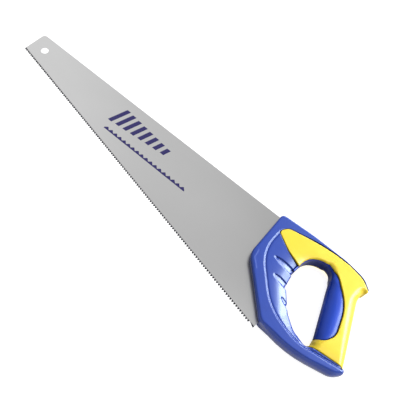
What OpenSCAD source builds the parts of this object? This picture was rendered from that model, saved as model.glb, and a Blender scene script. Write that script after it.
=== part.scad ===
// Hand saw lying on its side: a toothed steel blade in a moulded two-colour handle.
// The blade's back runs along X, the teeth face -Y, and the handle is at the +X end.

/* [Blade] */
// Length of the straight back, from the toe to the handle
back_len = 440; // [420:5:460]
// Depth of the blade at the toe, square to the back
toe_depth = 38.5; // [36:0.5:41]
// Angle between the back and the row of teeth
back_angle = 11.4; // [11:0.1:11.8]
// Thickness of the steel plate
plate_t = 0.9; // [0.7:0.05:1.2]
// Teeth per inch of the toothed edge
teeth_per_inch = 7; // [6:1:9]
// Diameter of the hanging hole near the toe
hang_d = 11; // [8:0.5:14]

/* [Handle] */
// Thickness of the handle from cheek to cheek
handle_t = 28; // [26:1:32]
// Length of the front edge that is square to the back
square_edge = 71.8; // [70:0.2:73]
// Thickness of the soft cover and insert over the core
skin_t = 2.5; // [1.5:0.25:3]
// Height of the soft parts above the body's cheeks
soft_rise = 0.8; // [0.4:0.1:1.2]

/* [Fixings] */
// Diameter of the screw shanks
screw_d = 4; // [3:0.5:5]
// Diameter of the screw heads
head_d = 8; // [7:0.5:8.5]
// Length of the screws under the head
screw_len = 16; // [14:1:18]

/* [Hidden] */

inch = 25.4;
half_t = handle_t / 2;

// Row of teeth, measured along the toothed edge from the toe corner
pitch = inch / teeth_per_inch;
tooth_depth = 0.72 * pitch;
toothed_len = 500;
tooth_count = floor(toothed_len / pitch);
toe_plain = 3;
heel_plain = 8;
edge_dir = [cos(back_angle), -sin(back_angle)];
edge_up = [sin(back_angle), cos(back_angle)];
toe_corner = [-back_len, -toe_depth];
heel_corner = toe_corner + (toe_plain + tooth_count * pitch + heel_plain) * edge_dir;
toe_back_r = 6;
toe_edge_r = 3;
hang_pos = [-back_len + 23, -toe_depth / 2 - 2];

// Tang of the blade inside the handle, set back from both front edges by the same distance
tang_in = 20;
tang_drop = 6;
tang_heel = 64;
slot_gap = 0.05;

// Corners of the handle seen square to the blade, from the top front corner down and round:
// each is [along, across, corner radius, rounding of the edge between side and cheek]
mitre_run = 58.3;
handle_corners = [
    [0, -0.3, 2.5, 1.6],
    [0, -square_edge, 22, 1.6],
    [mitre_run, -square_edge - mitre_run, 9, 2.2],
    [104, -135.5, 150, 3],
    [159, -121.5, 45, 3],
    [170.5, -113, 4, 3],
    [164, -107.8, 3, 6],
    [138, -30, 30, 13],
    [136.5, -18.6, 7, 9],
    [143, -11.5, 4.5, 4],
    [131, -3.6, 28, 3],
    [107, 3, 110, 2.2]
];

// Corners of the hand hole, where the last number is how far its rounded edge spreads over the cheek
hole_corners = [
    [55, -19, 24, 9],
    [93, -19.5, 13, 12],
    [123, -117, 6, 9],
    [97, -112.5, 35, 9],
    [56.5, -76, 22, 32],
    [54, -55, 40, 40]
];
hole_middle = [84, -66];
edge_flat = 0.6;

// Core under the soft parts: its sides, and its steps as [distance inside the handle, half thickness]
core_front = [[0, -150], [0, 20]];
core_rear = [[118, 20], [132, -14], [138, -30], [164, -107.8], [164, -150]];
core_steps = [[skin_t + 1.5, half_t / 2], [skin_t + 6, half_t - skin_t]];

// Corners of the soft cover's outline on the cheeks, which runs past the handle at the rear
cover_corners = [
    [9.8, -22.3, 5.5],
    [24, -8.2, 26],
    [80, 1.2, 150],
    [124, -1.8, 60],
    [145, -11, 2],
    [185, -11, 2],
    [185, -113, 2],
    [160, -113, 2],
    [134, -111, 30],
    [118, -114.3, 2],
    [85, -80, 2],
    [55, -42.5, 2],
    [36, -37, 60]
];

// Corners of the insert's outline, which lines the top of the hand hole and the front of the grip
insert_corners = [
    [52.8, -44.5, 0.5],
    [52.8, -17.6, 25.3],
    [88, -17.6, 30],
    [117, -33, 35],
    [136.5, -88, 18],
    [117, -108.8, 0.5]
];

// Screws, each the same distance inside a front edge, driven from the far cheek
screw_in = 8.5;
screw_spots = [
    [screw_in, -14],
    [screw_in, 4 - square_edge],
    [42.4 + screw_in / sqrt(2), -square_edge - 42.4 + screw_in / sqrt(2)]
];
head_h = 2.8;
head_seat = -8.5;
head_gap = 0.5;
tang_gap = 0.3;
tip_h = 2;
recess_w = 1.2;
recess_h = 1.6;

// Steps of the curves
arc_step = 12;
station_step = 10;
round_steps = 4;
cut_margin = 2;

// The frame's origin is under the middle of the part's box, with the lower cheek on the ground
handle_loop = rounded(handle_corners);
low = [-back_len, min([for (p = concat(handle_loop, [heel_corner])) p.y])];
high = [max([for (p = handle_loop) p.x]), max([for (p = handle_loop) p.y])];
to_ground = [-(low.x + high.x) / 2, -(low.y + high.y) / 2, half_t];

function unit(v) = v / norm(v);
function flat(p) = [p.x, p.y];
function mix(a, b, t) = a + (b - a) * t;

// Arc that rounds corner b between its neighbours a and c; further values of b are carried along
function arc(a, b, c) =
    let (
        u = unit(flat(a) - flat(b)),
        w = unit(flat(c) - flat(b)),
        half = acos(u * w) / 2,
        centre = flat(b) + unit(u + w) * b[2] / sin(half),
        from = flat(b) + u * b[2] / tan(half) - centre,
        side = sign(u.x * w.y - u.y * w.x),
        turn = -side * (180 - 2 * half),
        start = atan2(from.y, from.x),
        count = max(1, ceil(abs(turn) / arc_step))
    )
    [for (i = [0 : count])
        let (angle = start + turn * i / count)
        concat(centre + b[2] * [cos(angle), sin(angle)], len(b) > 3 ? [b[3]] : [])];

// Closed outline with every corner rounded
function rounded(corners) =
    let (n = len(corners))
    [for (i = [0 : n - 1]) each arc(corners[(i + n - 1) % n], corners[i], corners[(i + 1) % n])];

// Corners of a clockwise outline moved out by a distance, with their radii grown to suit
function moved_out(corners, by) =
    let (n = len(corners))
    [for (i = [0 : n - 1])
        let (
            b = flat(corners[i]),
            u = unit(b - flat(corners[(i + n - 1) % n])),
            w = unit(flat(corners[(i + 1) % n]) - b),
            shift = [-u.y - w.y, u.x + w.x] / (1 + u * w)
        )
        concat(b + by * shift, corners[i][2] + by)];

// The same outline with extra points on its long straight stretches
function filled(loop) =
    let (n = len(loop))
    [for (i = [0 : n - 1])
        let (
            a = loop[i],
            b = loop[(i + 1) % n],
            parts = max(1, ceil(norm(flat(b) - flat(a)) / station_step))
        )
        for (k = [0 : parts - 1]) mix(a, b, k / parts)];

function cross2(a, b) = a.x * b.y - a.y * b.x;

// Where the line from the middle of the hand hole towards a point leaves a loop, with the loop's carried value
function leaving(loop, point) =
    let (
        n = len(loop),
        d = unit(flat(point) - hole_middle),
        hits = [for (i = [0 : n - 1])
            let (
                a = flat(loop[i]) - hole_middle,
                b = flat(loop[(i + 1) % n]) - hole_middle,
                da = cross2(d, a),
                db = cross2(d, b)
            )
            if (da * db <= 0 && da != db && mix(a, b, da / (da - db)) * d > 0)
                mix(loop[i], loop[(i + 1) % n], da / (da - db))]
    )
    hits[0];

// Quarter of an ellipse in the upright plane from one side of the handle towards its cheek
function edge_round(from, inward, spread, top) =
    let (rise = min(spread, top - edge_flat))
    [for (k = [0 : round_steps])
        let (angle = 90 * k / round_steps, p = from + inward * spread * (1 - cos(angle)))
        [p.x, p.y, top - rise + rise * sin(angle)]];

function reversed(list) = [for (i = [len(list) - 1 : -1 : 0]) list[i]];
function under(list) = [for (p = reversed(list)) [p.x, p.y, -p.z]];

// Upright section of the handle from its outer side to the hand hole, with its cheeks at a height
function section(outer, inner, top) =
    let (
        inward = unit(flat(inner) - flat(outer)),
        outside = edge_round(flat(outer), inward, outer.z, top),
        inside = edge_round(flat(inner), -inward, inner.z, top),
        upper = concat(outside, reversed(inside))
    )
    concat(upper, under(upper));

// The whole handle as a ring of sections round the hand hole
module ring(top) {
    hole_loop = rounded(hole_corners);
    sections = [for (p = filled(handle_loop)) section(p, leaving(hole_loop, p), top)];
    n = len(sections);
    m = len(sections[0]);
    triangles = [for (i = [0 : n - 1], j = [0 : m - 1])
        let (
            here = i * m,
            next = (i + 1) % n * m,
            k = (j + 1) % m
        )
        each [[here + j, here + k, next + j], [next + j, here + k, next + k]]];
    polyhedron([for (s = sections) each s], triangles);
}

// Stepped core that carries the soft parts, clear of the rear edge and of the hand hole
module core() {
    for (step = core_steps)
        linear_extrude(2 * step[1], center = true) difference() {
            polygon(concat(core_front, [for (p = core_rear) p - [step[0], 0]]));
            polygon(rounded(moved_out(hole_corners, step[0])));
        }
}

// Upright prism through the whole handle over an outline
module through(corners) {
    translate([0, 0, -half_t - cut_margin])
        linear_extrude(handle_t + 2 * cut_margin)
            polygon(rounded(corners));
}

// Outline of the tang, grown by a gap for the slot that holds it
function tang(gap) =
    let (
        in = tang_in + gap,
        heel = tang_heel + gap,
        rear_line = in * sqrt(2) - square_edge
    )
    [[in, gap - tang_drop], [in, rear_line - in], [heel, rear_line - heel]];

module slot() {
    front = -cut_margin;
    below = heel_corner.y - cut_margin;
    points = concat([[front, slot_gap - tang_drop]], tang(slot_gap),
        [[heel_corner.x + slot_gap, below], [front, below]]);
    translate([0, 0, -plate_t / 2 - slot_gap])
        linear_extrude(plate_t + 2 * slot_gap)
            polygon(points);
}

module at_screws() {
    for (p = screw_spots) translate([p.x, p.y, 0]) children();
}

module blade() {
    teeth = [for (i = [0 : tooth_count], side = [0, 1])
        if (i < tooth_count || side == 0)
            toe_corner + (toe_plain + (i + side / 2) * pitch) * edge_dir + tooth_depth * (1 - side) * edge_up];
    toe_edge = [toe_corner.x, toe_corner.y, toe_edge_r];
    toe_back = [-back_len, 0, toe_back_r];
    step = [[-slot_gap, 0], [-slot_gap, -tang_drop]];
    points = concat(arc(step[0], toe_back, toe_edge), arc(toe_back, toe_edge, teeth[0]), teeth,
        [heel_corner], reversed(tang(0)), reversed(step));
    color("silver") difference() {
        translate([0, 0, -plate_t / 2]) linear_extrude(plate_t) polygon(points);
        translate([hang_pos.x, hang_pos.y, 0]) cylinder(h = handle_t, d = hang_d, center = true, $fn = 64);
        at_screws() cylinder(h = handle_t, d = screw_d + 2 * tang_gap, center = true, $fn = 48);
    }
}

module handle_body() {
    color("royalblue") difference() {
        ring(half_t - soft_rise);
        difference() {
            union() {
                through(cover_corners);
                through(insert_corners);
            }
            core();
        }
        slot();
        at_screws() {
            translate([0, 0, head_seat]) cylinder(h = screw_len, d = screw_d, $fn = 48);
            translate([0, 0, -half_t - cut_margin])
                cylinder(h = head_seat + half_t + cut_margin, d = head_d + head_gap, $fn = 48);
        }
    }
}

module grip_cover() {
    color("yellow") difference() {
        intersection() {
            ring(half_t);
            through(cover_corners);
        }
        through(insert_corners);
        core();
    }
}

module grip_insert() {
    color("mediumblue") difference() {
        intersection() {
            ring(half_t);
            through(insert_corners);
        }
        core();
    }
}

module screw() {
    difference() {
        union() {
            translate([0, 0, head_seat - head_h]) cylinder(h = head_h, d = head_d, $fn = 48);
            translate([0, 0, head_seat]) cylinder(h = screw_len - tip_h, d = screw_d, $fn = 48);
            translate([0, 0, head_seat + screw_len - tip_h])
                cylinder(h = tip_h, d1 = screw_d, d2 = screw_d / 3, $fn = 48);
        }
        for (turn = [0, 90])
            rotate(turn)
                translate([-head_d / 3, -recess_w / 2, head_seat - head_h - cut_margin])
                    cube([2 * head_d / 3, recess_w, recess_h + cut_margin]);
    }
}

module screws() {
    color("dimgray") at_screws() screw();
}

module placed() {
    translate(to_ground) children();
}

placed() blade();
placed() handle_body();
placed() grip_cover();
placed() grip_insert();
placed() screws();
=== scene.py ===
"""Looks of a hand saw: a satin steel blade with set teeth, in a moulded blue and yellow handle."""

import math

import bpy
import numpy as np
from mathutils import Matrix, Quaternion, Vector
from mathutils.geometry import delaunay_2d_cdt


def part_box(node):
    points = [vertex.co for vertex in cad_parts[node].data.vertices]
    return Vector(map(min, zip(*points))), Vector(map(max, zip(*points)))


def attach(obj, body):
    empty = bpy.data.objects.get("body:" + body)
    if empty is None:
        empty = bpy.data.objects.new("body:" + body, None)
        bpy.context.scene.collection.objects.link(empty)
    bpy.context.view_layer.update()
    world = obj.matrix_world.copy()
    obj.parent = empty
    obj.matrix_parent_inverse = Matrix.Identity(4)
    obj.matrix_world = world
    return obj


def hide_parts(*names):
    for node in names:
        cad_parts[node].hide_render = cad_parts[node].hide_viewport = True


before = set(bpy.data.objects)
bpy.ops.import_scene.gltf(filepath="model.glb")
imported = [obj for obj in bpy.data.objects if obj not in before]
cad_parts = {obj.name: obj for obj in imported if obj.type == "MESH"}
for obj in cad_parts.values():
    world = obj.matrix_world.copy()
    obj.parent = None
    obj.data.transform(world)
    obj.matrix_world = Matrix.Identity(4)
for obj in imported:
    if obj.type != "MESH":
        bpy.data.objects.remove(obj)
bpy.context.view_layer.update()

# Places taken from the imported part. Outlines are in millimetres from the handle's top front corner,
# on the blade's middle plane: x along the back towards the grip, y away from the teeth.
MM = 0.001
body_low, body_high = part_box("handle_body")
cover_low, cover_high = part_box("grip_cover")
blade_low, blade_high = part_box("blade")
CORNER = np.array((body_low.x, blade_high.y, (blade_low.z + blade_high.z) / 2))
BODY_TOP = (body_high.z - body_low.z) / 2 / MM
SOFT_TOP = (cover_high.z - cover_low.z) / 2 / MM
PLATE_T = (blade_high.z - blade_low.z) / MM
BACK_LEN = (body_low.x - blade_low.x) / MM
HANDLE_LEN = (body_high.x - body_low.x) / MM

# Handle outline: x, y, corner radius, spread of the rounded edge over the cheek, its height on the side
SQUARE_EDGE = 71.8
MITRE_RUN = 58.3
HANDLE_CORNERS = [
    (0, 0.2, 6, 2.2, 2.2),
    (0, -SQUARE_EDGE, 22, 2.8, 2.8),
    (MITRE_RUN, -SQUARE_EDGE - MITRE_RUN, 15, 3, 4.5),
    (104, -136.2, 150, 4.2, 12),
    (161, -123.9, 20, 5.5, 13),
    (170.5, -112.6, 5, 5, 11),
    (164, -108.2, 3, 10, 9),
    (136.8, -30, 30, 17, 13),
    (135, -19, 7, 12, 9),
    (143.5, -11.3, 4.5, 7, 5),
    (126, -0.6, 30, 3, 3),
    (98, 2.9, 60, 2.2, 2.2),
    (48, 2.95, 200, 2, 2),
]

# Hand hole: x, y, corner radius, spread of its rounded edge over the cheek
HOLE_CORNERS = [
    (60, -17.2, 25, 3),
    (93, -17.2, 14, 7),
    (100.2, -42, 60, 22),
    (119, -98, 40, 19),
    (123, -117, 6, 9),
    (97.5, -112, 25, 2.5),
    (80, -100, 12, 1.6),
    (58, -72.8, 20, 1.6),
    (55.8, -52, 30, 1.6),
]

# Outlines of the soft cover and of the insert on the cheeks: x, y, corner radius
COVER_CORNERS = [
    (9.8, -22.5, 5),
    (17.2, -11.5, 12),
    (60, -1.5, 150),
    (84, 0.8, 100),
    (105, 0.8, 40),
    (126, -3, 25),
    (138.8, -10.6, 3),
    (185, -13, 2),
    (185, -110.3, 2),
    (160, -110.3, 20),
    (130, -113.4, 20),
    (117.5, -115, 2),
    (85, -80, 2),
    (55, -43, 2),
    (36, -37.5, 60),
]
INSERT_CORNERS = [
    (84, -16.1, 0.5),
    (100, -20.5, 30),
    (128, -48, 60),
    (138, -86, 18),
    (130, -99.5, 14),
    (114, -105.5, 0.5),
    (100, -60, 0.5),
]

# Lining of the hand hole's upper wall, which is one with the insert
LINER_T = 2.6
LINER_TOP = 10.6
LINER_BELOW = 1.8
LINER_END = -52
LINER_RIGHT = 101

# Crease on the cheek, and the corners that close its area through the hand hole
CREASE_CORNERS = [
    (10.3, -20.5, 0),
    (8.5, -58, 55),
    (58.5, -112.5, 80),
    (106, -124.2, 60),
    (165, -114.4, 0),
]
SCOOP_CLOSING = [(150, -100), (110, -60), (60, -25)]

# Step down at the crease, its growth along the lower arm, its slope, and the groove at its foot
CREASE_STEP = 0.7
CREASE_GROWTH = 0.5
CREASE_SLOPE = 0.56
FOOT_WIDTH = 0.9

# Scoop inside the crease: half thickness and slope at the hand hole's lip. The lip rises at both ends,
# over a range of x + y at the upper one and of x at the lower one, and the upper end is less steep.
LIP_TOP = 6.8
LIP_RISE = 3
LIP_UPPER = (10, 70)
LIP_LOWER = (100, 117)
LIP_SLOPE = 0.52
UPPER_EASE = 0.6
LEAST_POWER = 1.2

# Leaf-shaped grooves beside the fingers: tip, mouth at the hand hole, half width, depth
FINGER_GROOVES = [
    ((24.3, -54.2), (54, -54.8), 4.2, 2.0),
    ((37.2, -73.4), (58.5, -74.2), 3.8, 1.9),
    ((61, -89.6), (74.5, -93.6), 2.2, 1.2),
]

# Share of its length over which a leaf widens, and the share that it starts from; share of the width that
# its walls take; depth of its notch in the hand hole's edge; and its end, in lengths from the tip
LEAF_SHARE = 0.45
LEAF_TIP = 0.01
GROOVE_WALL = 0.3
GROOVE_CUT = 2.4
GROOVE_REACH = 2

# Raised angle mark beside the two front edges, which fades out at some widths from its line
MARK_LINE = [(5.4, -62.5), (6.4, -72.5), (17, -82.7)]
MARK_WIDTH = 1.0
MARK_FADE = 1.5
MARK_HEIGHT = 0.3

# Skin of the soft parts, and the seams round them. The cover's top seam opens along x, above a foot.
SKIN_T = 2.5
SEAM_GAP = 0.15
SEAM_ROUND = 0.8
TOP_SEAM = 1.3
SEAM_OPENS = 22
SEAM_OPENING = 40
SEAM_FOOT = -14

# Cover: its rise over the scoop, its climb away from the left end and from the foot, and how these blend
COVER_RISE = 0.5
COVER_CLIMB = 0.25
COVER_BLEND = 2
COVER_LEFT = 52
COVER_EASE = 40
COVER_FOOT = [(117.5, -115), (130, -113.4), (165, -110)]

# Fall of the insert's crown towards its edge
INSERT_FALL = 2.2
INSERT_FALL_WIDTH = 13

# Screw pockets in the lower cheek
SCREW_IN = 8.5
TOP_SPOT = -14
LOW_SPOT = 4 - SQUARE_EDGE
MITRE_SPOT = 42.4
MITRE_IN = SCREW_IN / math.sqrt(2)
SCREW_SPOTS = [
    (SCREW_IN, TOP_SPOT),
    (SCREW_IN, LOW_SPOT),
    (MITRE_SPOT + MITRE_IN, -SQUARE_EDGE - MITRE_SPOT + MITRE_IN),
]
POCKET_R = 4.25
POCKET_FLOOR = -8.5

# Turn between two points of an arc
ARC_STEP = math.radians(6)

# Grid on which the handle's surfaces are found, with room round the handle. It is read up to just before
# its last lines.
STEP = 0.75
ROOM = 3 * STEP
LAST_CELL = 1.001
HANDLE_LOW = (body_low.y - CORNER[1]) / MM
HANDLE_HIGH = (body_high.y - CORNER[1]) / MM
GRID_X = np.arange(-ROOM, HANDLE_LEN + ROOM, STEP)
GRID_Y = np.arange(HANDLE_LOW - ROOM, HANDLE_HIGH + ROOM, STEP)
GRID_Z = np.arange(-SOFT_TOP - ROOM, SOFT_TOP + ROOM, STEP)
GRID_LOW = np.array((GRID_X[0], GRID_Y[0], GRID_Z[0]))

# Values carried by outlines, the least side below a rounded edge, and the settling of points on a surface
CARRY_STEP = 3
CARRY_SOFTNESS = 1
LEAST_SIDE = 0.6
SETTLE_ROUNDS = 2
SETTLE_PROBE = 0.3
LEAST_STEEPNESS = 0.2


def rounded(corners, closed=True):
    """Points of an outline with its corners rounded; values after the radius are carried along."""
    points = []
    count = len(corners)
    for i, corner in enumerate(corners):
        if not closed and i in (0, count - 1):
            points.append(corner[:2] + corner[3:])
            continue
        at = np.array(corner[:2], float)
        before = np.array(corners[i - 1][:2], float) - at
        after = np.array(corners[(i + 1) % count][:2], float) - at
        before /= np.linalg.norm(before)
        after /= np.linalg.norm(after)
        half = math.acos(before @ after) / 2
        middle = (before + after) / np.linalg.norm(before + after)
        centre = at + middle * corner[2] / math.sin(half)
        start = at + before * corner[2] / math.tan(half) - centre
        turn = -math.copysign(math.pi - 2 * half, before[0] * after[1] - before[1] * after[0])
        steps = max(2, math.ceil(abs(turn) / ARC_STEP))
        for k in range(steps + 1):
            c, s = math.cos(turn * k / steps), math.sin(turn * k / steps)
            x, y = centre + (c * start[0] - s * start[1], s * start[0] + c * start[1])
            points.append((x, y) + tuple(corner[3:]))
    return np.array(points)


def distance(x, y, line):
    """Distance of each point from a line of straight pieces."""
    best = np.full(np.shape(x), np.inf)
    for a, b in zip(line[:-1], line[1:]):
        ux, uy = b[0] - a[0], b[1] - a[1]
        length = ux * ux + uy * uy
        if length == 0:
            continue
        t = np.clip(((x - a[0]) * ux + (y - a[1]) * uy) / length, 0, 1)
        best = np.minimum(best, np.hypot(x - a[0] - t * ux, y - a[1] - t * uy))
    return best


def within(x, y, loop):
    """True for the points inside a closed outline."""
    odd = np.zeros(np.shape(x), bool)
    for a, b in zip(loop, np.roll(loop, -1, axis=0)):
        if a[1] == b[1]:
            continue
        spans = (a[1] > y) != (b[1] > y)
        odd ^= spans & (x < a[0] + (y - a[1]) / (b[1] - a[1]) * (b[0] - a[0]))
    return odd


def depth_inside(x, y, loop):
    """Distance from a closed outline, positive inside it."""
    closed = np.vstack((loop, loop[:1]))
    return np.where(within(x, y, loop), 1, -1) * distance(x, y, closed)


def carried(x, y, loop):
    """Value carried by an outline, spread smoothly over the plane from the points near each place."""
    total, weights = 0.0, 0.0
    for px, py, value in loop:
        weight = 1 / ((x - px) ** 2 + (y - py) ** 2 + CARRY_SOFTNESS) ** 2
        total = total + weight * value
        weights = weights + weight
    return total / weights


def smooth_step(t):
    """Rise from 0 to 1 that starts and ends level."""
    t = np.clip(t, 0, 1)
    return t * t * (3 - 2 * t)


def smooth_max(a, b, radius):
    """The larger of two fields, with the edge between them rounded."""
    blend = np.maximum(radius - np.abs(a - b), 0) / radius
    return np.maximum(a, b) + blend * blend * radius / 4


def filled(loop, spacing):
    """An outline with extra points on its long straight pieces."""
    points = []
    for a, b in zip(loop, np.roll(loop, -1, axis=0)):
        parts = max(1, math.ceil(np.hypot(*(b - a)[:2]) / spacing))
        points += [a + (b - a) * k / parts for k in range(parts)]
    return np.array(points)


def finger_grooves(x, y):
    """Depth of the finger grooves, deepest on their upper side, and of their notches at the hole."""
    depth, cut = 0.0, 0.0
    for tip, mouth, half_width, deep in FINGER_GROOVES:
        length = math.dist(tip, mouth)
        ux, uy = (mouth[0] - tip[0]) / length, (mouth[1] - tip[1]) / length
        along = (x - tip[0]) * ux + (y - tip[1]) * uy
        width = half_width * np.sqrt(np.clip(along / (LEAF_SHARE * length), LEAF_TIP, 1))
        across = ((y - tip[1]) * ux - (x - tip[0]) * uy) / width
        begun = smooth_step(along / half_width) * (along < GROOVE_REACH * length)
        rising = np.clip((across + 1) / 2, 0, 1)
        upper_wall = smooth_step((1 - across) / GROOVE_WALL)
        lower_wall = smooth_step((1 + across) / GROOVE_WALL)
        depth = depth + deep * begun * rising * upper_wall
        cut = cut + GROOVE_CUT * begun * (1 - rising) * lower_wall
    return depth, cut


def scoop_height(x, y, hole_depth, from_crease, step):
    """Half thickness of the scoop, from level at the crease to a steep lip at the hand hole."""
    upper_end = smooth_step((x + y - LIP_UPPER[0]) / (LIP_UPPER[1] - LIP_UPPER[0]))
    lower_end = smooth_step((x - LIP_LOWER[0]) / (LIP_LOWER[1] - LIP_LOWER[0]))
    drop = BODY_TOP - step - LIP_TOP - LIP_RISE * np.maximum(upper_end, lower_end)
    span = np.maximum(hole_depth + from_crease, STEP)
    steepness = LIP_SLOPE * (1 - UPPER_EASE * upper_end)
    power = np.maximum(steepness * span / drop, LEAST_POWER)
    return BODY_TOP - step - drop * np.clip(from_crease / span, 0, 1) ** power


def body_height(x, y, crease, from_crease, step, hollow):
    """Half thickness of the body: flat cheeks, and the hollow inside the crease."""
    scoop = np.vstack((crease, SCOOP_CLOSING))
    width = step / CREASE_SLOPE
    foot = step * np.exp(-(((from_crease - width - FOOT_WIDTH) / FOOT_WIDTH) ** 2))
    inside = within(x, y, scoop) * np.clip(from_crease / width, 0, 1)
    return BODY_TOP + (hollow - foot - BODY_TOP) * inside


def cover_height(x, y, hollow):
    """Half thickness at the cover: the scoop's level on the left and at the foot, full on the grip."""
    from_left = smooth_max(x - COVER_LEFT, np.zeros_like(x), COVER_EASE)
    from_foot = distance(x, y, COVER_FOOT)
    climb = hollow + COVER_RISE + COVER_CLIMB * np.minimum(from_left, from_foot)
    return -smooth_max(-climb, np.full_like(climb, -SOFT_TOP), COVER_BLEND)


def plane_maps(x, y):
    """Everything the handle's solids need to know about each place in the plane."""
    handle = rounded(HANDLE_CORNERS)
    hole = rounded(HOLE_CORNERS)
    groove, cut = finger_grooves(x, y)
    hole_depth = -depth_inside(x, y, hole[:, :2]) - cut
    edge = filled(handle, CARRY_STEP)
    cover = depth_inside(x, y, rounded(COVER_CORNERS))
    insert = depth_inside(x, y, rounded(INSERT_CORNERS))
    crease = rounded(CREASE_CORNERS, closed=False)
    from_crease = distance(x, y, crease)
    step = CREASE_STEP + CREASE_GROWTH * smooth_step((x - MITRE_RUN) / MITRE_RUN)
    hollow = scoop_height(x, y, np.maximum(hole_depth, 0), from_crease, step)
    cover_top = cover_height(x, y, hollow)
    seam_opening = smooth_step((x - SEAM_OPENS) / SEAM_OPENING) * (y > SEAM_FOOT)
    insert_fall = np.clip(1 - insert / INSERT_FALL_WIDTH, 0, 1) ** 2
    return {
        "outer": depth_inside(x, y, handle[:, :2]),
        "outer_spread": carried(x, y, edge[:, :3]),
        "outer_rise": carried(x, y, edge[:, (0, 1, 3)]),
        "hole": hole_depth,
        "hole_spread": carried(x, y, filled(hole, CARRY_STEP)),
        "cover": cover,
        "cover_seam": SEAM_GAP + TOP_SEAM * seam_opening,
        "insert": insert,
        "liner": np.minimum.reduce([LINER_T - hole_depth, y - LINER_END, LINER_RIGHT - x]),
        "body_top": body_height(x, y, crease, from_crease, step, hollow - groove),
        "mark": MARK_HEIGHT * smooth_step(MARK_FADE - distance(x, y, MARK_LINE) / MARK_WIDTH),
        "cover_top": cover_top,
        "insert_top": np.where(insert > 0, SOFT_TOP - INSERT_FALL * insert_fall, cover_top),
        "screw": np.minimum.reduce([np.hypot(x - px, y - py) for px, py in SCREW_SPOTS]),
    }


def edge_field(depth, spread, rise, z, top):
    """Field of a slab near a side, where a quarter ellipse joins side and cheek; inside it is below 0."""
    rise = np.minimum(rise, top - LEAST_SIDE)
    across = np.maximum(1 - depth / spread, 0)
    up = np.maximum((np.abs(z) - top + rise) / rise, 0)
    return (np.hypot(across, up) - 1) * np.minimum(spread, rise)


def handle_field(m, z, top):
    """Field of the whole handle with its cheeks at a height."""
    level = SOFT_TOP
    lifted = np.abs(z) + level - top
    outside = edge_field(m["outer"], m["outer_spread"], m["outer_rise"], lifted, level)
    inside = edge_field(m["hole"], m["hole_spread"], m["hole_spread"], lifted, level)
    return np.maximum(outside, inside)


def insert_depth(m, z):
    """How deep a place lies inside the insert or its lining of the hand hole."""
    liner_top = np.minimum(LINER_TOP, m["cover_top"] - LINER_BELOW)
    return np.maximum(m["insert"], np.minimum(m["liner"], liner_top - np.abs(z)))


def core_field(m, z):
    """The body's core, which the soft parts are wrapped round."""
    return handle_field(m, z, np.minimum(m["body_top"], m["cover_top"])) + SKIN_T


def body_field(m, z):
    """The blue body: the handle outside its soft parts, with the mark, the core and the pockets."""
    soft = np.maximum(m["cover"], insert_depth(m, z))
    face = handle_field(m, z, m["body_top"] + m["mark"] * (z > 0))
    shell = smooth_max(face, soft + SEAM_GAP, SEAM_ROUND)
    solid = np.minimum(shell, np.maximum(core_field(m, z), -m["outer"]))
    pocket = np.maximum(m["screw"] - POCKET_R, z - POCKET_FLOOR)
    return np.maximum(solid, -pocket)


def cover_field(m, z):
    """The yellow cover: a skin on the core, inside its seam and outside the insert."""
    face = handle_field(m, z, m["cover_top"])
    sides = np.maximum(m["cover_seam"] - m["cover"], insert_depth(m, z) + SEAM_GAP)
    return np.maximum(smooth_max(face, sides, SEAM_ROUND), -core_field(m, z))


def insert_field(m, z):
    """The dark blue insert with its lining of the hand hole: a skin on the core."""
    face = handle_field(m, z, m["insert_top"])
    return np.maximum(smooth_max(face, SEAM_GAP - insert_depth(m, z), SEAM_ROUND), -core_field(m, z))


def at_places(maps, points):
    """The plane maps read at scattered points, by the four grid places round each."""
    u = np.clip((points[:, 0] - GRID_X[0]) / STEP, 0, len(GRID_X) - LAST_CELL)
    v = np.clip((points[:, 1] - GRID_Y[0]) / STEP, 0, len(GRID_Y) - LAST_CELL)
    i, j = u.astype(int), v.astype(int)
    u, v = u - i, v - j
    read = {}
    for name, grid in maps.items():
        low = grid[i, j] * (1 - u) + grid[i + 1, j] * u
        high = grid[i, j + 1] * (1 - u) + grid[i + 1, j + 1] * u
        read[name] = low * (1 - v) + high * v
    return read


def surface_net(values):
    """Closed mesh of four-sided faces along the places where a grid of values changes sign."""
    cells = np.array(values.shape) - 1
    total = np.zeros((*cells, 3))
    hits = np.zeros(cells)
    crossings = []
    for axis in range(3):
        low = np.moveaxis(values, axis, 0)[:-1]
        high = np.moveaxis(values, axis, 0)[1:]
        crossed = (low < 0) != (high < 0)
        share = np.where(crossed, low / np.where(crossed, low - high, 1), 0)
        crossings.append((crossed, low < 0))
        sums = np.moveaxis(total, axis, 0)
        counts = np.moveaxis(hits, axis, 0)
        others = [k for k in range(3) if k != axis]
        for du in (0, 1):
            for dv in (0, 1):
                part = (slice(None), slice(du, du + cells[others[0]]), slice(dv, dv + cells[others[1]]))
                counts += crossed[part]
                sums[..., axis] += share[part]
                sums[..., others[0]] += du * crossed[part]
                sums[..., others[1]] += dv * crossed[part]
    used = hits > 0
    number = np.full(cells, -1)
    number[used] = np.arange(used.sum())
    points = GRID_LOW + STEP * (np.argwhere(used) + total[used] / hits[used][:, None])
    faces = []
    for axis, (crossed, starts_inside) in enumerate(crossings):
        numbers = np.moveaxis(number, axis, 0)
        inner = (slice(None), slice(1, -1), slice(1, -1))
        i, j, k = np.nonzero(crossed[inner])
        around = ((0, 0), (1, 0), (1, 1), (0, 1))
        quad = np.stack([numbers[i, j + dj, k + dk] for dj, dk in around], 1)
        # Bringing the middle axis to the front mirrors the other two, so its faces turn the other way
        flip = starts_inside[inner][i, j, k] != (axis != 1)
        quad[flip] = quad[flip][:, ::-1]
        faces.append(quad)
    return points, np.vstack(faces)


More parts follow.
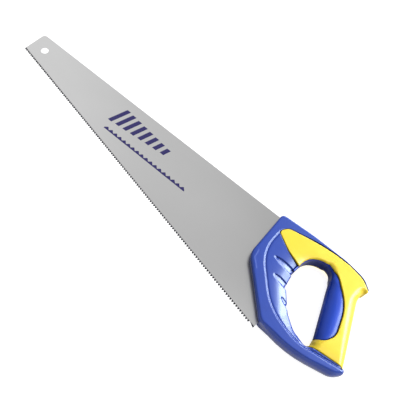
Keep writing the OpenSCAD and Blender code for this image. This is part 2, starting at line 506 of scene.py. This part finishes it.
def settled(points, field, maps):
    """Points moved along the field's slope onto its surface."""
    for _ in range(SETTLE_ROUNDS):
        here = field(at_places(maps, points), points[:, 2])
        slope = np.empty_like(points)
        for axis in range(3):
            step = np.zeros(3)
            step[axis] = SETTLE_PROBE
            ahead = field(at_places(maps, points + step), points[:, 2] + step[2])
            behind = field(at_places(maps, points - step), points[:, 2] - step[2])
            slope[:, axis] = (ahead - behind) / (2 * SETTLE_PROBE)
        steepness = np.maximum((slope**2).sum(1), LEAST_STEEPNESS)
        move = np.clip(here / steepness, -STEP / 2, STEP / 2)
        points = points - move[:, None] * slope
    return points


def add_piece(name, points, faces, material, node):
    """A smooth mesh piece from points in handle millimetres, in place of one of the part's nodes."""
    mesh = bpy.data.meshes.new(name)
    mesh.from_pydata((CORNER + np.asarray(points) * MM).tolist(), [], [list(f) for f in faces])
    mesh.polygons.foreach_set("use_smooth", [True] * len(mesh.polygons))
    mesh.update()
    piece = bpy.data.objects.new(name, mesh)
    bpy.context.scene.collection.objects.link(piece)
    mesh.materials.append(material)
    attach(piece, "root")
    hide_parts(node)
    return piece


def add_handle(materials):
    """The three moulded pieces of the handle, by name."""
    x, y = np.meshgrid(GRID_X, GRID_Y, indexing="ij")
    maps = plane_maps(x, y)
    upright = {name: grid[:, :, None] for name, grid in maps.items()}
    pieces = {}
    for name, field, node, slot in (
        ("moulded_body", body_field, "handle_body", "blue_plastic"),
        ("soft_cover", cover_field, "grip_cover", "yellow_soft"),
        ("soft_insert", insert_field, "grip_insert", "navy_soft"),
    ):
        values = np.broadcast_to(field(upright, GRID_Z), (len(GRID_X), len(GRID_Y), len(GRID_Z)))
        points, faces = surface_net(values)
        pieces[name] = add_piece(name, settled(points, field, maps), faces, materials[slot], node)
    return pieces


# Blade: the teeth run along a line from the toe that leaves the back's direction by the taper. A share of
# the pitch is the depth of a tooth, and another its blunt tip, which is set to one side.
TOE_DEPTH = 38.5
TOE_BACK_R = 6
TOE_EDGE_R = 3
TAPER = math.radians(11.4)
INCH = 25.4
TEETH_PER_INCH = 7
PITCH = INCH / TEETH_PER_INCH
DEPTH_SHARE = 0.72
TOOTH_DEPTH = DEPTH_SHARE * PITCH
TOE_PLAIN = 3
HEEL_PLAIN = 8
HEEL_LEAN = 4
HEEL_TALL = 28
TOOTHED_LEN = 500
TOOTH_COUNT = int(TOOTHED_LEN / PITCH)
TOOTH_SET = 0.28
TIP_SHARE = 0.22
EDGE_ALONG = np.array((math.cos(TAPER), -math.sin(TAPER)))
EDGE_UP = np.array((math.sin(TAPER), math.cos(TAPER)))
TOE_CORNER = np.array((-BACK_LEN, -TOE_DEPTH))
HANG_IN = 23
HANG_DROP = 2
HANG_POS = np.array((-BACK_LEN + HANG_IN, -TOE_DEPTH / 2 - HANG_DROP))
HANG_R = 5.5
HANG_SIDES = 48

# Tang, how far the plate's end above it reaches into the handle, and how the outline is filled
TANG_IN = 18
TANG_TOP = -6
TANG_LOW = 8 - SQUARE_EDGE
BACK_TUCK = 0.2
FILL_INSIDE = 1
MERGE_WITHIN = 1e-5

# Plain print on the blade's upper face
BAR_COUNT = 8
BARS_START = -268
BAR_PITCH = 12.5
BARS_MIDDLE = -29
BAR_WIDTH = 6.5
BAR_TALL = 30
BAR_SHRINK = 2.6
BAR_LEAN = 0.3
RULE_START = -262
RULE_Y = -58
RULE_THICK = 1.6
RULE_PITCH = 8
RULE_TEETH = 18
RULE_TOOTH = 3.6


def blade_outline():
    """Outline of the blade with its tang, and the sideways set of each of its points."""
    toe_end = TOE_CORNER + TOOTHED_LEN * EDGE_ALONG
    toe_corners = [(0, 0, 0), (-BACK_LEN, 0, TOE_BACK_R), (*TOE_CORNER, TOE_EDGE_R), (*toe_end, 0)]
    toe = rounded(toe_corners, closed=False)
    points = [tuple(p) for p in toe[:-1]]
    bend = [0.0] * len(points)
    for i in range(TOOTH_COUNT + 1):
        root = TOE_CORNER + (TOE_PLAIN + i * PITCH) * EDGE_ALONG + TOOTH_DEPTH * EDGE_UP
        points.append(tuple(root))
        bend.append(0.0)
        if i < TOOTH_COUNT:
            for share in (0.5 - TIP_SHARE / 2, 0.5 + TIP_SHARE / 2):
                points.append(tuple(TOE_CORNER + (TOE_PLAIN + (i + share) * PITCH) * EDGE_ALONG))
                bend.append(TOOTH_SET * (-1) ** i)
    heel = TOE_CORNER + (TOE_PLAIN + TOOTH_COUNT * PITCH + HEEL_PLAIN) * EDGE_ALONG
    tang = [(TANG_IN, TANG_LOW), (TANG_IN, TANG_TOP), (BACK_TUCK, TANG_TOP), (BACK_TUCK, 0)]
    tail = [tuple(heel), (heel[0] + HEEL_LEAN, heel[1] + HEEL_TALL)] + tang
    return points + tail, bend + [0.0] * len(tail)


def blade_print():
    """Outlines of the print: leaning bars that shorten along the blade, over a toothed rule."""
    marks = []
    for i in range(BAR_COUNT):
        left = BARS_START + i * BAR_PITCH
        tall = BAR_TALL - i * BAR_SHRINK
        top = BARS_MIDDLE + tall / 2
        low = BARS_MIDDLE - tall / 2
        lean = BAR_LEAN * tall
        right = left + BAR_WIDTH
        marks.append([(left, low), (right, low), (right + lean, top), (left + lean, top)])
    rule = [(RULE_START, RULE_Y), (RULE_START + RULE_TEETH * RULE_PITCH, RULE_Y)]
    for i in range(RULE_TEETH, 0, -1):
        rule.append((RULE_START + i * RULE_PITCH, RULE_Y + RULE_THICK))
        rule.append((RULE_START + (i - 0.5) * RULE_PITCH, RULE_Y + RULE_THICK + RULE_TOOTH))
    rule.append((RULE_START, RULE_Y + RULE_THICK))
    return marks + [rule]


def add_blade(material, ink):
    """Steel plate with its hanging hole, teeth set to alternate sides, and print on the upper face."""
    outline, bend = blade_outline()
    turns = np.linspace(2 * math.pi, 0, HANG_SIDES, endpoint=False)
    hole = [tuple(HANG_POS + HANG_R * np.array((math.cos(t), math.sin(t)))) for t in turns]
    marks = blade_print()
    flat, edges = [], []
    for loop in [outline, hole] + marks:
        first, size = len(flat), len(loop)
        flat += loop
        edges += [(first + k, first + (k + 1) % size) for k in range(size)]
    count = len(flat)
    filling = delaunay_2d_cdt([Vector(p) for p in flat], edges, [], FILL_INSIDE, MERGE_WITHIN)
    triangles = np.array(filling[2])
    x, y = np.array(flat)[triangles].mean(axis=1).T
    triangles, x, y = (part[~within(x, y, hole)] for part in (triangles, x, y))
    printed = np.any([within(x, y, mark) for mark in marks], axis=0)
    walls = [(i, i + count, j + count, j) for i, j in edges[: len(outline) + len(hole)]]
    faces = triangles.tolist() + (triangles[:, ::-1] + count).tolist() + walls
    sideways = bend + [0.0] * (count - len(bend))
    points = [(*p, s + side * PLATE_T / 2) for side in (1, -1) for p, s in zip(flat, sideways)]
    piece = add_piece("steel_blade", points, faces, material, "blade")
    piece.data.materials.append(ink)
    inked = printed.astype(int).tolist() + [0] * (len(faces) - len(printed))
    piece.data.polygons.foreach_set("material_index", inked)
    piece.data.polygons.foreach_set("use_smooth", [False] * len(faces))
    return piece


# Moulded plastics: colour, cloudy colour, roughness, gloss, tint of the gloss, grain in millimetres, and
# the share of the colour that is left in recesses as painted shade
COOL = (0.8, 0.95, 1)
NEUTRAL = (1, 1, 1)
PLASTICS = {
    "blue_plastic": ((0.003, 0.03, 0.28), (0.003, 0.027, 0.26), 0.22, 1.0, COOL, 0.35, 0.28),
    "yellow_soft": ((0.57, 0.425, 0.001), (0.55, 0.405, 0.001), 0.32, 1.0, NEUTRAL, 0.3, 0.9),
    "navy_soft": ((0.003, 0.038, 0.4), (0.003, 0.034, 0.37), 0.3, 0.7, COOL, 0.3, 0.22),
}
UNEVENNESS = (-0.03, 0.05)

# Painted shade in recesses: reach of the occlusion test in metres, its samples, its range from closed to
# open, and the gloss left
RECESS_REACH = 0.05
RECESS_SAMPLES = 8
OPEN_RANGE = (0.5, 0.9)
RECESS_GLOSS = 0.1

# Upright faces are dull, and level ones have a fine matt texture; both ranges are of the normal's z
UPRIGHT_RANGE = (0.3, 0.8)
UPRIGHT_GLOSS = 0.25
FLAT_RANGE = (0.965, 0.997)
FLAT_GLOSS = 0.55
FLAT_ROUGHER = 0.28

# Metals and ink: colours and roughness, and where the burnt steel fades, in millimetres above the tips
STEEL = (0.63, 0.63, 0.63)
STEEL_CLOUD = (0.61, 0.61, 0.61)
STEEL_ROUGHNESS = (0.275, 0.285)
BURNT_STEEL = (0.015, 0.015, 0.022)
BURN_RANGE = (1.9, 2.8)
SCREW_STEEL = (0.45, 0.45, 0.47)
SCREW_DULL = (0.3, 0.3, 0.31)
SCREW_ROUGHNESS = (0.3, 0.5)
INK = (0.03, 0.022, 0.19)
THIN_INK = (0.045, 0.035, 0.23)
INK_ROUGHNESS = 0.45

# Fine relief: strength, and depth in metres
PLASTIC_RELIEF = (0.15, 0.0002)
STEEL_RELIEF = (0.008, 0.00005)
SCREW_RELIEF = (0.1, 0.0001)
INK_RELIEF = (0.05, 0.0001)

# Noise: scales in cycles per metre, and the ranges that most of its values lie in
CLOUDS = (60, 60, 60)
WIDE_CLOUDS = (9, 14, 14)
GRINDING = (60, 9000, 9000)
INK_LINES = (30, 2600, 2600)
INK_PATCHES = (700, 700, 700)
TURNING = (900, 900, 6000)
SPOTS = (500, 500, 500)
FINE_DETAIL = 2.0
MIDDLE = (0.3, 0.7)
PATCHY = (0.4, 0.7)


def shader(name, colour, roughness, **sockets):
    """New material with constants set on its shader; gives the material, its nodes, links and shader."""
    material = bpy.data.materials.new(name)
    material.use_nodes = True
    nodes, links = material.node_tree.nodes, material.node_tree.links
    surface = nodes["Principled BSDF"]
    surface.inputs["Base Color"].default_value = (*colour, 1)
    surface.inputs["Roughness"].default_value = roughness
    for socket, value in sockets.items():
        surface.inputs[socket.replace("_", " ")].default_value = value
    return material, nodes, links, surface


def noise(nodes, links, coordinates, scale, detail=3.0):
    """Noise in the part's own coordinates, stretched by the three numbers of its scale."""
    stretch = nodes.new("ShaderNodeMapping")
    stretch.inputs["Scale"].default_value = scale
    links.new(coordinates, stretch.inputs["Vector"])
    texture = nodes.new("ShaderNodeTexNoise")
    texture.inputs["Scale"].default_value = 1.0
    texture.inputs["Detail"].default_value = detail
    links.new(stretch.outputs["Vector"], texture.inputs["Vector"])
    return texture.outputs["Fac"]


def ranged(nodes, links, value, low, high, start=0.0, end=1.0):
    """A value from start to end, mapped to low to high."""
    span = nodes.new("ShaderNodeMapRange")
    span.inputs["From Min"].default_value = start
    span.inputs["From Max"].default_value = end
    span.inputs["To Min"].default_value = low
    span.inputs["To Max"].default_value = high
    links.new(value, span.inputs["Value"])
    return span.outputs["Result"]


def mixed(nodes, links, share, first, second):
    """Colour between two colours, each three numbers or a node's output."""
    blend = nodes.new("ShaderNodeMix")
    blend.data_type = "RGBA"
    for socket, colour in (("A", first), ("B", second)):
        if isinstance(colour, tuple):
            blend.inputs[socket].default_value = (*colour, 1)
        else:
            links.new(colour, blend.inputs[socket])
    links.new(share, blend.inputs["Factor"])
    return blend.outputs["Result"]


def openness(nodes):
    """1 for a place in the open, less in grooves and seams and low on the walls."""
    shade = nodes.new("ShaderNodeAmbientOcclusion")
    shade.samples = RECESS_SAMPLES
    shade.inputs["Distance"].default_value = RECESS_REACH
    return shade.outputs["AO"]


def maths(nodes, links, operation, *values):
    """Result of an arithmetic step on node outputs."""
    step = nodes.new("ShaderNodeMath")
    step.operation = operation
    for socket, value in zip(step.inputs, values):
        links.new(value, socket)
    return step.outputs["Value"]


def levelness(nodes, links):
    """1 on the cheeks, 0 on faces that stand upright."""
    parts = nodes.new("ShaderNodeSeparateXYZ")
    links.new(nodes.new("ShaderNodeTexCoord").outputs["Normal"], parts.inputs["Vector"])
    return maths(nodes, links, "ABSOLUTE", parts.outputs["Z"])


def bumped(nodes, links, surface, height, strength, depth):
    """Fine relief on a shader, from a height."""
    bump = nodes.new("ShaderNodeBump")
    bump.inputs["Strength"].default_value = strength
    bump.inputs["Distance"].default_value = depth
    links.new(height, bump.inputs["Height"])
    links.new(bump.outputs["Normal"], surface.inputs["Normal"])


def plastic(name, colour, shade, roughness, gloss, tint, grain_mm, recess_shade):
    """Moulded plastic with a fine grain, a little cloudiness, matt flats, and painted shade that darkens
    its colour and gloss in recesses.
    """
    material, nodes, links, surface = shader(name, colour, roughness, Specular_Tint=(*tint, 1))
    place = nodes.new("ShaderNodeTexCoord").outputs["Object"]
    cloud = noise(nodes, links, place, CLOUDS)
    grain = noise(nodes, links, place, (1 / (grain_mm * MM),) * 3)
    cloudiness = ranged(nodes, links, cloud, 0, 1, *MIDDLE)
    unshaded_colour = mixed(nodes, links, cloudiness, colour, shade)
    # Painted shade: where the occlusion test finds a place closed in, the colour is darkened and the
    # gloss is lowered
    unshaded_share = ranged(nodes, links, openness(nodes), 0, 1, *OPEN_RANGE)
    painted_shade_colour = tuple(recess_shade * part for part in shade)
    links.new(mixed(nodes, links, unshaded_share, painted_shade_colour, unshaded_colour), surface.inputs["Base Color"])
    shade_dimmed_gloss = ranged(nodes, links, unshaded_share, RECESS_GLOSS * gloss, gloss)
    level = levelness(nodes, links)
    polish = ranged(nodes, links, level, UPRIGHT_GLOSS, 1, *UPRIGHT_RANGE)
    matt = ranged(nodes, links, level, 1, FLAT_GLOSS, *FLAT_RANGE)
    shine = maths(nodes, links, "MULTIPLY", polish, matt)
    links.new(maths(nodes, links, "MULTIPLY", shade_dimmed_gloss, shine), surface.inputs["Specular IOR Level"])
    smoothest, roughest = (roughness + change for change in UNEVENNESS)
    uneven = ranged(nodes, links, cloud, smoothest, roughest, *MIDDLE)
    flat = ranged(nodes, links, level, 0, FLAT_ROUGHER, *FLAT_RANGE)
    links.new(maths(nodes, links, "ADD", uneven, flat), surface.inputs["Roughness"])
    bumped(nodes, links, surface, grain, *PLASTIC_RELIEF)
    return material


def screw_steel(name):
    """Plated screw steel with fine turning marks and dull spots."""
    material, nodes, links, surface = shader(name, SCREW_STEEL, SCREW_ROUGHNESS[0], Metallic=1.0)
    place = nodes.new("ShaderNodeTexCoord").outputs["Object"]
    marks = noise(nodes, links, place, TURNING, FINE_DETAIL)
    spots = noise(nodes, links, place, SPOTS)
    dullness = ranged(nodes, links, spots, 0, 1, *PATCHY)
    links.new(mixed(nodes, links, dullness, SCREW_STEEL, SCREW_DULL), surface.inputs["Base Color"])
    links.new(ranged(nodes, links, spots, *SCREW_ROUGHNESS, *MIDDLE), surface.inputs["Roughness"])
    bumped(nodes, links, surface, marks, *SCREW_RELIEF)
    return material


def print_ink(name):
    """Thin screen-printed ink, a little uneven, over the steel's fine lines."""
    material, nodes, links, surface = shader(name, INK, INK_ROUGHNESS)
    place = nodes.new("ShaderNodeTexCoord").outputs["Object"]
    patches = noise(nodes, links, place, INK_PATCHES)
    lines = noise(nodes, links, place, INK_LINES, FINE_DETAIL)
    thinness = ranged(nodes, links, patches, 0, 1, *PATCHY)
    links.new(mixed(nodes, links, thinness, INK, THIN_INK), surface.inputs["Base Color"])
    bumped(nodes, links, surface, lines, *INK_RELIEF)
    return material


def steel(name):
    """Satin plate steel ground along its length, with hardened, dark-blued teeth."""
    roughness = sum(STEEL_ROUGHNESS) / 2
    material, nodes, links, surface = shader(name, STEEL, roughness, Metallic=1.0)
    place = nodes.new("ShaderNodeTexCoord").outputs["Object"]
    lines = noise(nodes, links, place, GRINDING, FINE_DETAIL)
    cloud = noise(nodes, links, place, WIDE_CLOUDS, FINE_DETAIL)
    plate = mixed(nodes, links, ranged(nodes, links, cloud, 0, 1, *MIDDLE), STEEL, STEEL_CLOUD)
    height = nodes.new("ShaderNodeVectorMath")
    height.operation = "DOT_PRODUCT"
    height.inputs[1].default_value = (*EDGE_UP, 0)
    links.new(place, height.inputs[0])
    edge = float((CORNER[:2] + TOE_CORNER * MM) @ EDGE_UP)
    burnt, bare = (edge + above * MM for above in BURN_RANGE)
    burn = ranged(nodes, links, height.outputs["Value"], 1, 0, burnt, bare)
    links.new(mixed(nodes, links, burn, plate, BURNT_STEEL), surface.inputs["Base Color"])
    links.new(ranged(nodes, links, lines, *STEEL_ROUGHNESS, *MIDDLE), surface.inputs["Roughness"])
    bumped(nodes, links, surface, lines, *STEEL_RELIEF)
    return material


# Camera: lens and sensor in millimetres, aim and distance in metres, and how it is turned
LENS = 45.3
SENSOR = 36
CAMERA_AIM = (0.0418, 0.0157, CORNER[2])
CAMERA_AWAY = 0.6555
CAMERA_TURN = math.radians(26.1)
CAMERA_RAISED = math.radians(62.1)
CAMERA_ROLL = math.radians(15.3)

# Floor: a round plane whose far rim rises, by the radius and height of its rings, with a faint glow
FLOOR_SIDES = 48
FLOOR_RINGS = ((15.0, 0.0), (18.0, 2.6))
FLOOR_COLOUR = (0.93, 0.93, 0.93)
FLOOR_SHADES = ((0.92, 0.92, 0.92), (0.94, 0.94, 0.94))
FLOOR_ROUGHNESS = 0.9
FLOOR_GRAIN = (40, 40, 40)
FLOOR_GLOW = 0.35

# Soft square lights: place, aim and side in metres, and power in watts
HANDLE_LIGHTS = {
    "key": ((1.11, 0.76, 1.0), (0.2, 0, 0), 1.3, 36),
    "back": ((0.71, 1.14, 0.64), (0.2, 0, 0), 0.8, 13),
    "low": ((-0.2, 1.5, 0.32), (-0.1, 0, 0), 0.65, 11),
}
COVER_LIGHTS = {
    "sheen": ((0.6, 0.52, 1.06), (0.28, 0.02, 0), 0.5, 4.7),
}
BLADE_LIGHTS = {
    "overhead": ((-1.0, 0.75, 1.55), (-0.1, 0, 0), 1.7, 2.2),
    "heel": ((0.2, 0.2, 1.6), (0.15, -0.05, 0), 0.4, 0.45),
    "toe": ((-1.2, 0.35, 1.0), (-0.2, 0, 0), 1.0, 0.7),
}
FLOOR_LIGHTS = {
    "table": ((0, 0, 2.5), (0, 0, 0), 3.0, 43),
}

# Surroundings: the direction that is brightest, the range along it, and the strengths there
SKY_TOWARD = (0.35, 0.45, 0.82)
SKY_RANGE = (-0.45, 0.25)
SKY_STRENGTH = (0.25, 0.58)


def add_camera():
    """Camera turned round the part, raised, and rolled about its own view."""
    data = bpy.data.cameras.new("camera")
    data.sensor_width = SENSOR
    data.lens = LENS
    level = math.cos(CAMERA_RAISED)
    across = math.sin(CAMERA_TURN) * level
    away = -math.cos(CAMERA_TURN) * level
    back = Vector((across, away, math.sin(CAMERA_RAISED)))
    camera = bpy.data.objects.new("camera", data)
    camera.location = Vector(CAMERA_AIM) + CAMERA_AWAY * back
    camera.rotation_mode = "QUATERNION"
    camera.rotation_quaternion = back.to_track_quat("Z", "Y") @ Quaternion((0, 0, 1), CAMERA_ROLL)
    bpy.context.scene.collection.objects.link(camera)
    bpy.context.scene.camera = camera


def add_lights(lights, group_name, pieces, shaded_by_all=True):
    """Soft lights that shine on some pieces only, shaded by everything or by those pieces alone."""
    group = bpy.data.collections.new(group_name)
    for piece in pieces:
        group.objects.link(piece)
    for name, (place, aim, size, power) in lights.items():
        data = bpy.data.lights.new(name, "AREA")
        data.size = size
        data.energy = power
        light = bpy.data.objects.new(name, data)
        light.location = place
        light.rotation_mode = "QUATERNION"
        light.rotation_quaternion = (Vector(place) - Vector(aim)).to_track_quat("Z", "Y")
        light.light_linking.receiver_collection = group
        if not shaded_by_all:
            light.light_linking.blocker_collection = group
        bpy.context.scene.collection.objects.link(light)


def add_floor():
    """Pale floor like a light table, with a rim far off that low views end in."""
    turns = [2 * math.pi * k / FLOOR_SIDES for k in range(FLOOR_SIDES)]
    points = [(r * math.cos(t), r * math.sin(t), z) for r, z in FLOOR_RINGS for t in turns]
    rim = []
    for k in range(FLOOR_SIDES):
        after = (k + 1) % FLOOR_SIDES
        rim.append((k, FLOOR_SIDES + k, FLOOR_SIDES + after, after))
    mesh = bpy.data.meshes.new("floor")
    mesh.from_pydata(points, [], [tuple(range(FLOOR_SIDES))] + rim)
    floor = bpy.data.objects.new("floor", mesh)
    bpy.context.scene.collection.objects.link(floor)
    material, nodes, links, surface = shader(
        "floor", FLOOR_COLOUR, FLOOR_ROUGHNESS, Emission_Strength=FLOOR_GLOW
    )
    place = nodes.new("ShaderNodeTexCoord").outputs["Object"]
    grain = noise(nodes, links, place, FLOOR_GRAIN)
    links.new(mixed(nodes, links, grain, *FLOOR_SHADES), surface.inputs["Base Color"])
    mesh.materials.append(material)
    return floor


def add_surroundings():
    """White surroundings, bright above and behind the grip, dim low down on the near side."""
    world = bpy.data.worlds.new("studio")
    world.use_nodes = True
    nodes, links = world.node_tree.nodes, world.node_tree.links
    toward = nodes.new("ShaderNodeVectorMath")
    toward.operation = "DOT_PRODUCT"
    toward.inputs[1].default_value = SKY_TOWARD
    links.new(nodes.new("ShaderNodeTexCoord").outputs["Generated"], toward.inputs[0])
    strength = ranged(nodes, links, toward.outputs["Value"], *SKY_STRENGTH, *SKY_RANGE)
    links.new(strength, nodes["Background"].inputs["Strength"])
    nodes["Background"].inputs["Color"].default_value = (1, 1, 1, 1)
    bpy.context.scene.world = world


handle = add_handle({name: plastic(name, *finish) for name, finish in PLASTICS.items()})
blade = add_blade(steel("blade_steel"), print_ink("print_ink"))
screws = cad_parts["screws"]
screws.data.materials.clear()
screws.data.materials.append(screw_steel("screw_steel"))

floor = add_floor()
add_lights(HANDLE_LIGHTS, "handle", [*handle.values(), screws])
add_lights(COVER_LIGHTS, "cover", [handle["soft_cover"]])
add_lights(BLADE_LIGHTS, "blade", [blade])
add_lights(FLOOR_LIGHTS, "table", [floor], shaded_by_all=False)
add_surroundings()
add_camera()
bpy.context.scene.view_settings.view_transform = "Standard"
